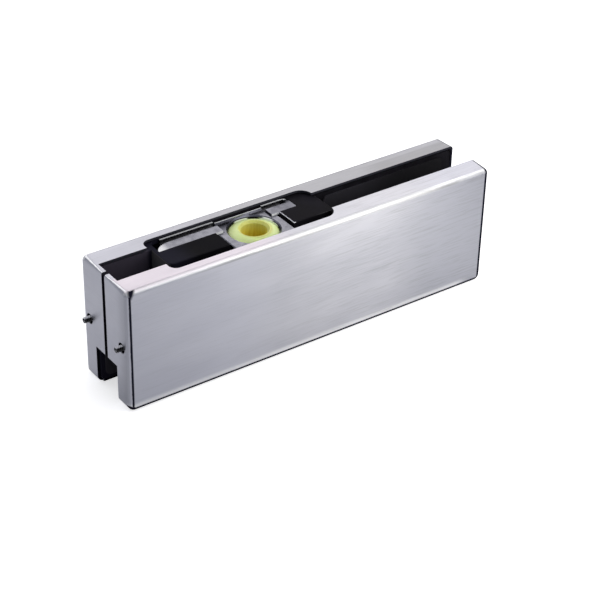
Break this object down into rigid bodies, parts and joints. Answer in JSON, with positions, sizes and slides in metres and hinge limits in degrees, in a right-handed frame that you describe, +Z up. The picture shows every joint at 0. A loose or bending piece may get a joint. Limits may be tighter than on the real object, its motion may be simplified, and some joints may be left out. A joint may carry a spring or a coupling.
{
  "type": "pivot shower door hinge",
  "caption": "Clamp fitting for the top corner of a frameless glass door, with a turning nylon bush that takes the frame's pivot pin.",
  "frame": {"origin": "on the pivot axis, at the middle of the bush's bore", "axes": "+X from the door's pivot edge towards its free edge, +Y from the front cover to the rear cover, +Z up out of the bore, along the pivot axis"},
  "size_m": [0.1665, 0.032, 0.051],
  "materials": {
    "brushed_sheet": "stainless sheet, brushed along its length",
    "cast_body": "die-cast aluminium, painted satin black",
    "plated_steel": "zinc-plated steel",
    "nylon": "yellow-green nylon, slightly waxy",
    "rubber_pad": "matt black fibre and rubber",
    "stainless_screw": "bright stainless",
    "dark_screw": "black oxide steel"
  },
  "bodies": {
    "fitting": {"front_cover": "brushed_sheet", "rear_cover": "brushed_sheet", "rear_body": "cast_body", "front_body": "cast_body", "seat_plate": "plated_steel", "pivot_block": "plated_steel", "front_side_pad": "rubber_pad", "rear_side_pad": "rubber_pad", "front_lower_pad": "rubber_pad", "rear_lower_pad": "rubber_pad", "front_cover_screw": "stainless_screw", "rear_cover_screw": "stainless_screw", "clamp_bolt_left": "dark_screw", "clamp_bolt_middle": "dark_screw", "clamp_bolt_right": "dark_screw", "plate_screw_left": "dark_screw", "plate_screw_right": "dark_screw", "block_screw_left": "dark_screw", "block_screw_right": "dark_screw"},
    "bush": {"pivot_bush": "nylon"}
  },
  "joints": [
    {"name": "bush_turn", "type": "hinge", "parent": "fitting", "child": "bush", "pos_m": [0, 0, 0], "axis": [0, 0, 1], "continuous": true}
  ]
}
